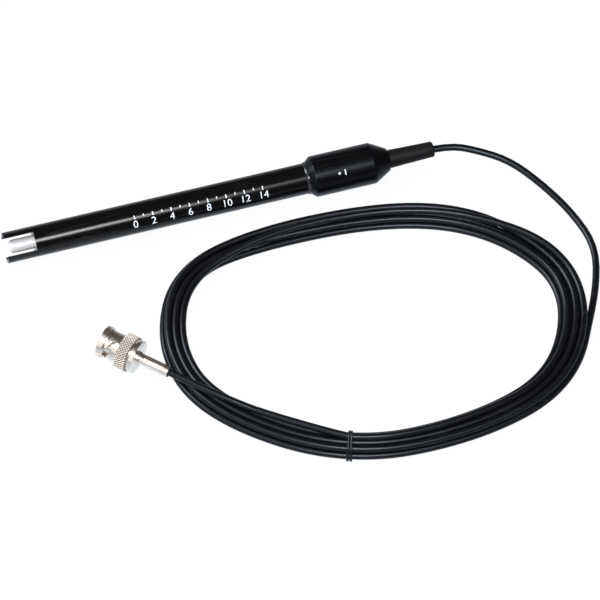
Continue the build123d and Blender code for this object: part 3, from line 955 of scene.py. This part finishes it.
# Fine scratches: thin lines where a stretched noise crosses its middle value, in patches
NOISE_MIDDLE = 0.5
fine_scratches, entry = new_group("fine_scratches", {"Scale": 60.0, "Width": 0.012})
line_masks = []
for lean_degrees in (18, -31):
    lean_way = (0.3, 0.2, math.radians(lean_degrees))
    lean = add_mapping(fine_scratches, entry["Place"], Rotation=lean_way, Scale=(0.25, 4.0, 4.0))
    streak = add_noise(fine_scratches, lean, entry["Scale"], detail=1.0, distortion=0.4)
    from_middle = add_math(fine_scratches, "SUBTRACT", streak, NOISE_MIDDLE)
    distance = add_math(fine_scratches, "ABSOLUTE", from_middle)
    line_masks.append(add_range(fine_scratches, distance, 0.0, entry["Width"], low=1.0, high=0.0))
either = add_math(fine_scratches, "MAXIMUM", *line_masks)
patch = add_noise(fine_scratches, entry["Place"], scale=45.0, detail=1.0)
where = add_range(fine_scratches, patch, start=0.5, end=0.62)
close_group(fine_scratches, {"Mask": add_math(fine_scratches, "MULTIPLY", either, where)})

# Settled dust: specks on faces that look up
settled_dust, entry = new_group("settled_dust", {"Amount": 0.3})
face = add_node(settled_dust, "ShaderNodeNewGeometry")
face_way = add_node(settled_dust, "ShaderNodeSeparateXYZ", {0: face.outputs["Normal"]})
upward = add_range(settled_dust, face_way.outputs["Z"], start=0.2, end=1.0)
speck = add_noise(settled_dust, entry["Place"], scale=1800.0, detail=4.0, roughness=0.7)
cloud = add_noise(settled_dust, entry["Place"], scale=70.0, detail=2.0)
grains = add_range(settled_dust, speck, start=0.56, end=0.72)
in_clouds = add_math(settled_dust, "MULTIPLY", grains, cloud)
settled = add_math(settled_dust, "MULTIPLY", in_clouds, upward)
close_group(settled_dust, {"Mask": add_math(settled_dust, "MULTIPLY", settled, entry["Amount"])})


def new_finish(name, constants):
    """A material with its shader's constant values set, and the object's coordinates."""
    material = bpy.data.materials.new(name)
    material.use_nodes = True
    tree = material.node_tree
    shader = tree.nodes["Principled BSDF"]
    for key, value in constants.items():
        shader.inputs[key].default_value = value
    place = add_node(tree, "ShaderNodeTexCoord").outputs["Object"]
    return material, tree, shader, place


def add_group(tree, group, place, **values):
    """The results of a shared effect, placed in a material with its own values."""
    return add_node(tree, "ShaderNodeGroup", {"Place": place, **values}, node_tree=group).outputs


def colour_by(tree, shader, mask, plain, marked):
    """Base colour between two colours by a mask."""
    tree.links.new(add_mix(tree, mask, (*plain, 1), (*marked, 1)), shader.inputs["Base Color"])


def gloss_by(tree, shader, mask, low, high):
    """Roughness between two levels by a mask."""
    tree.links.new(add_range(tree, mask, 0.0, 1.0, low, high), shader.inputs["Roughness"])


def relief(tree, shader, height, strength, depth):
    """Bump from a height."""
    bump = add_node(tree, "ShaderNodeBump", {
        "Height": height,
        "Strength": strength,
        "Distance": depth * MM,
    })
    tree.links.new(bump.outputs["Normal"], shader.inputs["Normal"])


def wear_mask(tree, place, scratches, dust):
    """Scratches and dust together, as one mask."""
    marks = add_group(tree, fine_scratches, place, Scale=scratches)
    dirt = add_group(tree, settled_dust, place, Amount=dust)
    return add_math(tree, "MAXIMUM", marks["Mask"], dirt["Mask"])


COOL_SHEEN = (0.78, 0.89, 1.0, 1)
WARM_SHEEN = (0.98, 0.97, 0.94, 1)
BOOT_SHEEN = (0.9, 0.95, 1.0, 1)
SLOW_RATIO = 12
TONE_SHARE = 0.5


def plastic(name, plain, worn, gloss, grain, depth, dust, scratches, sheen=0.5, tint=COOL_SHEEN):
    """Moulded plastic: grain, fine scratches and a little dust."""
    material, tree, shader, place = new_finish(
        name, {"IOR": 1.5, "Specular IOR Level": sheen, "Specular Tint": tint},
    )
    moulded = add_group(tree, moulded_grain, place, Fine=grain, Slow=grain / SLOW_RATIO)
    wear = wear_mask(tree, place, scratches, dust)
    colour_by(tree, shader, wear, plain, worn)
    dulled = add_math(tree, "MULTIPLY_ADD", moulded["Tone"], TONE_SHARE, wear)
    gloss_by(tree, shader, dulled, *gloss)
    relief(tree, shader, moulded["Height"], strength=0.35, depth=depth)
    return material


def metal(name, plain, tarnish, gloss, heading=PLUG_HEADING, lines=6000.0):
    """Plated metal with the fine lines of turning round its axis and a little tarnish."""
    material, tree, shader, place = new_finish(name, {"Metallic": 1.0})
    turned = add_mapping(tree, place, Rotation=(0, 0, -heading), Scale=(lines, 60.0, 60.0))
    rings = add_noise(tree, turned, scale=1.0, detail=2.0)
    stain = add_noise(tree, place, scale=420.0, detail=5.0, roughness=0.65)
    colour_by(tree, shader, add_range(tree, stain, start=0.48, end=0.75), plain, tarnish)
    gloss_by(tree, shader, rings, *gloss)
    relief(tree, shader, rings, strength=0.2, depth=0.003)
    return material


shaft_gloss = plastic(
    "shaft_gloss", plain=(0.002, 0.002, 0.0025), worn=(0.009, 0.009, 0.011), gloss=(0.15, 0.25),
    grain=1500, depth=0.002, dust=0.2, scratches=42, sheen=0.30, tint=WARM_SHEEN,
)
cap_satin = plastic(
    "cap_satin", plain=(0.002, 0.002, 0.0025), worn=(0.011, 0.011, 0.013), gloss=(0.24, 0.36),
    grain=2600, depth=0.006, dust=0.25, scratches=38, sheen=0.17,
)
resin_clear = plastic(
    "resin_clear", plain=(0.012, 0.012, 0.013), worn=(0.04, 0.04, 0.04), gloss=(0.05, 0.12),
    grain=900, depth=0.01, dust=0.0, scratches=30,
)
tie_band = plastic(
    "tie_band", plain=(0.005, 0.005, 0.006), worn=(0.04, 0.04, 0.04), gloss=(0.25, 0.4),
    grain=3500, depth=0.02, dust=0.3, scratches=80, sheen=0.4,
)
seal_rubber = plastic(
    "seal_rubber", plain=(0.02, 0.02, 0.02), worn=(0.09, 0.09, 0.09), gloss=(0.5, 0.7),
    grain=3000, depth=0.03, dust=0.3, scratches=60,
)
gasket_silicone = plastic(
    "gasket_silicone", plain=(0.45, 0.07, 0.04), worn=(0.6, 0.2, 0.15), gloss=(0.4, 0.6),
    grain=2500, depth=0.02, dust=0.3, scratches=60,
)
core_plastic = plastic(
    "core_plastic", plain=(0.75, 0.75, 0.72), worn=(0.6, 0.6, 0.58), gloss=(0.4, 0.55),
    grain=2000, depth=0.02, dust=0.2, scratches=60,
)
insulator_white = plastic(
    "insulator_white", plain=(0.82, 0.82, 0.80), worn=(0.66, 0.65, 0.62), gloss=(0.35, 0.5),
    grain=2200, depth=0.02, dust=0.4, scratches=60,
)

nickel_turned = metal(
    "nickel_turned", plain=(0.94, 0.88, 0.82), tarnish=(0.74, 0.66, 0.57), gloss=(0.16, 0.30), lines=3000.0,
)
gold_plate = metal("gold_plate", plain=(0.86, 0.62, 0.26), tarnish=(0.66, 0.44, 0.18), gloss=(0.14, 0.26))
spring_steel = metal(
    "spring_steel", plain=(0.56, 0.56, 0.57), tarnish=(0.34, 0.32, 0.30), gloss=(0.22, 0.38),
)
silver_wire = metal(
    "silver_wire", plain=(0.78, 0.77, 0.75), tarnish=(0.36, 0.34, 0.34), gloss=(0.2, 0.4),
    heading=0.0, lines=3000.0,
)
copper_wire = metal(
    "copper_wire", plain=(0.80, 0.45, 0.28), tarnish=(0.45, 0.24, 0.14), gloss=(0.2, 0.38),
    heading=0.0, lines=3000.0,
)

# Boot: shrunk sleeve with fine lengthwise lines
boot_sleeve, tree, shader, place = new_finish(
    "boot_sleeve", {"IOR": 1.5, "Specular IOR Level": 0.2, "Specular Tint": BOOT_SHEEN},
)
drawn = add_mapping(tree, place, Rotation=(0, TILT, 0), Scale=(90.0, 1300.0, 1300.0))
lines = add_noise(tree, drawn, scale=1.0, detail=3.0, roughness=0.6)
dirt = add_group(tree, settled_dust, place, Amount=0.35)
colour_by(tree, shader, dirt["Mask"], plain=(0.004, 0.004, 0.0045), marked=(0.035, 0.035, 0.04))
gloss_by(tree, shader, lines, low=0.42, high=0.66)
relief(tree, shader, lines, strength=0.5, depth=0.09)

# Cable jacket: satin, with a faint draw texture and dust
cable_jacket, tree, shader, place = new_finish(
    "cable_jacket", {"IOR": 1.5, "Specular IOR Level": 0.33, "Specular Tint": COOL_SHEEN},
)
moulded = add_group(tree, moulded_grain, place, Fine=1100.0, Slow=160.0)
wear = wear_mask(tree, place, scratches=70.0, dust=0.3)
colour_by(tree, shader, wear, plain=(0.0026, 0.0028, 0.0038), marked=(0.013, 0.014, 0.017))
gloss_by(tree, shader, moulded["Tone"], low=0.26, high=0.38)
relief(tree, shader, moulded["Height"], strength=0.2, depth=0.0015)

# Sensing glass: clear, with faint draw lines
clear_glass, tree, shader, place = new_finish(
    "clear_glass", {"Transmission Weight": 0.6, "IOR": 1.47, "Base Color": (0.98, 0.965, 0.985, 1)},
)
drawn = add_mapping(tree, place, Rotation=(0, TILT, 0), Scale=(60.0, 700.0, 700.0))
lines = add_noise(tree, drawn, scale=1.0, detail=2.0)
gloss_by(tree, shader, lines, low=0.02, high=0.09)
relief(tree, shader, lines, strength=0.15, depth=0.03)

# Junction: pale porous ring
junction_pores, tree, shader, place = new_finish("junction_pores", {"IOR": 1.45})
pores = add_node(tree, "ShaderNodeTexVoronoi", {"Vector": place, "Scale": 3200.0})
holes = add_range(tree, pores.outputs["Distance"], start=0.1, end=0.45)
colour_by(tree, shader, holes, plain=(0.52, 0.50, 0.47), marked=(0.84, 0.83, 0.80))
gloss_by(tree, shader, holes, low=0.85, high=0.6)
relief(tree, shader, holes, strength=0.6, depth=0.05)

# Knurled ring: the same plate, darker in the hollows between the studs: painted shade together with some
# grime
knurl_nickel, tree, shader, place = new_finish("knurl_nickel", {"Metallic": 0.5})
to_plug = Matrix.Rotation(-PLUG_HEADING, 3, "Z") @ PLUG_FRONT
centred = add_mapping(tree, place, Rotation=(0, 0, -PLUG_HEADING), Location=-to_plug)
across = add_node(tree, "ShaderNodeVectorMath", {0: centred, 1: (0.0, 1.0, 1.0)}, operation="MULTIPLY")
reach = add_node(tree, "ShaderNodeVectorMath", {0: across.outputs["Vector"]}, operation="LENGTH")
height = add_range(tree, reach.outputs["Value"], start=KNURL_ROOT * MM, end=KNURL_TOP * MM)
# Colour by height over the ring's axis: the dark roots are painted shade with some grime, and the stud tops
# keep the plate's colour
colour_by(tree, shader, height, plain=(0.20, 0.165, 0.14), marked=(0.95, 0.905, 0.84))
gloss_by(tree, shader, height, low=0.6, high=0.36)
relief(tree, shader, add_noise(tree, place, scale=2500.0, detail=2.0), strength=0.2, depth=0.02)

# White ink of the printed marks
white_ink, tree, shader, place = new_finish("white_ink", {"IOR": 1.45})
thin_spots = add_noise(tree, place, scale=1600.0, detail=4.0, roughness=0.7)
faded = add_range(tree, thin_spots, start=0.60, end=0.72)
colour_by(tree, shader, faded, plain=(0.74, 0.81, 0.90), marked=(0.50, 0.55, 0.62))
gloss_by(tree, shader, faded, low=0.45, high=0.6)


def dress(piece, *materials):
    """Give a piece its finish in place of any it came with."""
    piece.data.materials.clear()
    for material in materials:
        piece.data.materials.append(material)


dress(electrode_shaft, shaft_gloss)
dress(sensing_glass, clear_glass)
dress(electrode_cap, cap_satin)
dress(cap_bead, resin_clear)
dress(strain_boot, boot_sleeve)
dress(signal_cable, cable_jacket)
dress(bundle_tie, tie_band)
dress(number_scale, white_ink)
dress(cap_sign, white_ink)
dress(plug_shell, nickel_turned)
dress(crimp_sleeve, nickel_turned)
dress(dished_washer, spring_steel)
dress(coupling_ring, nickel_turned, knurl_nickel)
for polygon in coupling_ring.data.polygons:
    away = polygon.center - PLUG_FRONT
    place = away.dot(PLUG_ALONG)
    reach = (away - PLUG_ALONG * place).length
    if KNURL_START * MM < place < KNURL_END * MM and reach > (KNURL_ROOT - KNURL_EDGE) * MM:
        polygon.material_index = 1
NODE_FINISHES = {
    "junction_ring": junction_pores,
    "tip_seal": seal_rubber,
    "stem_plug": seal_rubber,
    "bung": seal_rubber,
    "inner_wire": silver_wire,
    "reference_wire": silver_wire,
    "cable_entry": cable_jacket,
    "core_lead": core_plastic,
    "shield_lead": copper_wire,
    "centre_pin": gold_plate,
    "insulator": insulator_white,
    "gasket": gasket_silicone,
    "retaining_ring": spring_steel,
}
for node_name, material in NODE_FINISHES.items():
    node_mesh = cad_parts[node_name].data
    for slot_number in range(len(node_mesh.materials)):
        node_mesh.materials[slot_number] = material
    if not node_mesh.materials:
        node_mesh.materials.append(material)

# Floor: pale, and white to the camera and in reflections, with the object's shadow on it
WHITE = (1, 1, 1, 1)
FLOOR_HALF = 6.0
FLOOR_COLOUR = (0.9, 0.9, 0.9, 1)
FLOOR_GLOW_SHARE = 0.9
FLOOR_LOW_GLOW = 0.40
MIRRORED_FLOOR = (0.80, 0.90, 1.0, 1)
begin_piece()
bpy.ops.mesh.primitive_plane_add(size=2 * FLOOR_HALF, location=(0, 0, 0))
floor = bpy.context.object
floor.name = "floor"
floor_paint = bpy.data.materials.new("floor_paint")
floor_paint.use_nodes = True
tree = floor_paint.node_tree
tree.nodes.clear()
ray = add_node(tree, "ShaderNodeLightPath").outputs
seen = add_math(tree, "MAXIMUM", ray["Is Camera Ray"], ray["Is Transmission Ray"])
seen_or_mirrored = add_math(tree, "MAXIMUM", seen, ray["Is Glossy Ray"])
# Reflections see the floor a little bluer, and dimmer where they meet it at a low angle
low_angle = add_node(tree, "ShaderNodeLayerWeight", {"Blend": 0.5})
mirrored_low = add_math(tree, "MULTIPLY", low_angle.outputs["Facing"], ray["Is Glossy Ray"])
glow = add_node(tree, "ShaderNodeEmission", {
    "Color": add_mix(tree, ray["Is Glossy Ray"], WHITE, MIRRORED_FLOOR),
    "Strength": add_range(tree, mirrored_low, 0.0, 1.0, low=1.0, high=FLOOR_LOW_GLOW),
})
matt = add_node(tree, "ShaderNodeBsdfDiffuse", {"Color": FLOOR_COLOUR})
paint = add_node(tree, "ShaderNodeMixShader", {
    "Fac": add_math(tree, "MULTIPLY", seen_or_mirrored, FLOOR_GLOW_SHARE),
    1: matt.outputs[0],
    2: glow.outputs[0],
})
add_node(tree, "ShaderNodeOutputMaterial", {"Surface": paint.outputs[0]})
floor.data.materials.append(floor_paint)

# World: white to the camera.  Reflections see a dark room with a pale wall behind the object and a
# white card on its left.
FILL_COLOUR = (0.95, 0.97, 1.0, 1)
FILL_STRENGTH = 0.5
ROOM_COLOUR = (0.075, 0.062, 0.055, 1)
HORIZON_COLOUR = (0.30, 0.31, 0.33, 1)
HORIZON_FADE = 0.16
WALL_COLOUR = (0.92, 0.96, 1, 1)
WALL_WAY = (-0.2, 0.98, 0.0)
WALL_EDGE = (0.5, 0.9)
CARD_WAY = (-0.66, -0.38, 0.64)
CARD_EDGE = (0.74, 0.92)


def facing_mask(tree, direction, way, edge):
    """How much a direction points one way: 0 at the outer edge, 1 inside the inner one."""
    cosine = add_node(tree, "ShaderNodeVectorMath", {0: direction, 1: way}, operation="DOT_PRODUCT")
    return add_range(tree, cosine.outputs["Value"], *edge)


world = bpy.data.worlds.new("studio")
bpy.context.scene.world = world
world.use_nodes = True
tree = world.node_tree
tree.nodes.clear()
direction = add_node(tree, "ShaderNodeTexCoord").outputs["Generated"]
upward = add_node(tree, "ShaderNodeSeparateXYZ", {0: direction}).outputs["Z"]
above = add_range(tree, upward, 0.0, HORIZON_FADE, interpolation_type="SMOOTHSTEP")
horizon = add_mix(tree, facing_mask(tree, direction, WALL_WAY, WALL_EDGE), HORIZON_COLOUR, WALL_COLOUR)
dark_room = add_mix(tree, above, horizon, ROOM_COLOUR)
with_card = add_mix(tree, facing_mask(tree, direction, CARD_WAY, CARD_EDGE), dark_room, WHITE)
fill = add_node(tree, "ShaderNodeBackground", {"Color": FILL_COLOUR, "Strength": FILL_STRENGTH})
room = add_node(tree, "ShaderNodeBackground", {"Color": with_card, "Strength": 1.0})
backdrop = add_node(tree, "ShaderNodeBackground", {"Color": WHITE, "Strength": 1.0})
ray = add_node(tree, "ShaderNodeLightPath").outputs
mirrored = add_node(tree, "ShaderNodeMixShader", {
    "Fac": ray["Is Glossy Ray"],
    1: fill.outputs[0],
    2: room.outputs[0],
})
shown = add_node(tree, "ShaderNodeMixShader", {
    "Fac": add_math(tree, "MAXIMUM", ray["Is Camera Ray"], ray["Is Transmission Ray"]),
    1: mirrored.outputs[0],
    2: backdrop.outputs[0],
})
add_node(tree, "ShaderNodeOutputWorld", {"Surface": shown.outputs[0]})

# Lamps, with their place, size and power: a key beside the camera, a weak fill on its right and a
# wide one behind on the left
LAMP_TARGET = Vector((0.0, -0.03, 0))
LAMPS = {
    "key": ((-0.10, -0.53, 0.85), (0.34, 0.30), 8.2),
    "right_fill": ((0.30, -0.53, 0.85), (0.40, 0.34), 0.7),
    "left_fill": ((-0.66, 0.36, 0.68), (0.50, 0.80), 11.5),
}
for lamp_name, (lamp_place, lamp_size, lamp_power) in LAMPS.items():
    lamp_data = bpy.data.lights.new(lamp_name, "AREA")
    lamp_data.shape = "RECTANGLE"
    lamp_data.size, lamp_data.size_y = lamp_size
    lamp_data.energy = lamp_power
    lamp = bpy.data.objects.new(lamp_name, lamp_data)
    lamp.location = lamp_place
    lamp.rotation_euler = (LAMP_TARGET - lamp.location).to_track_quat("-Z", "Y").to_euler()
    bpy.context.scene.collection.objects.link(lamp)

bpy.context.scene.view_settings.view_transform = "Standard"

bpy.context.view_layer.update()
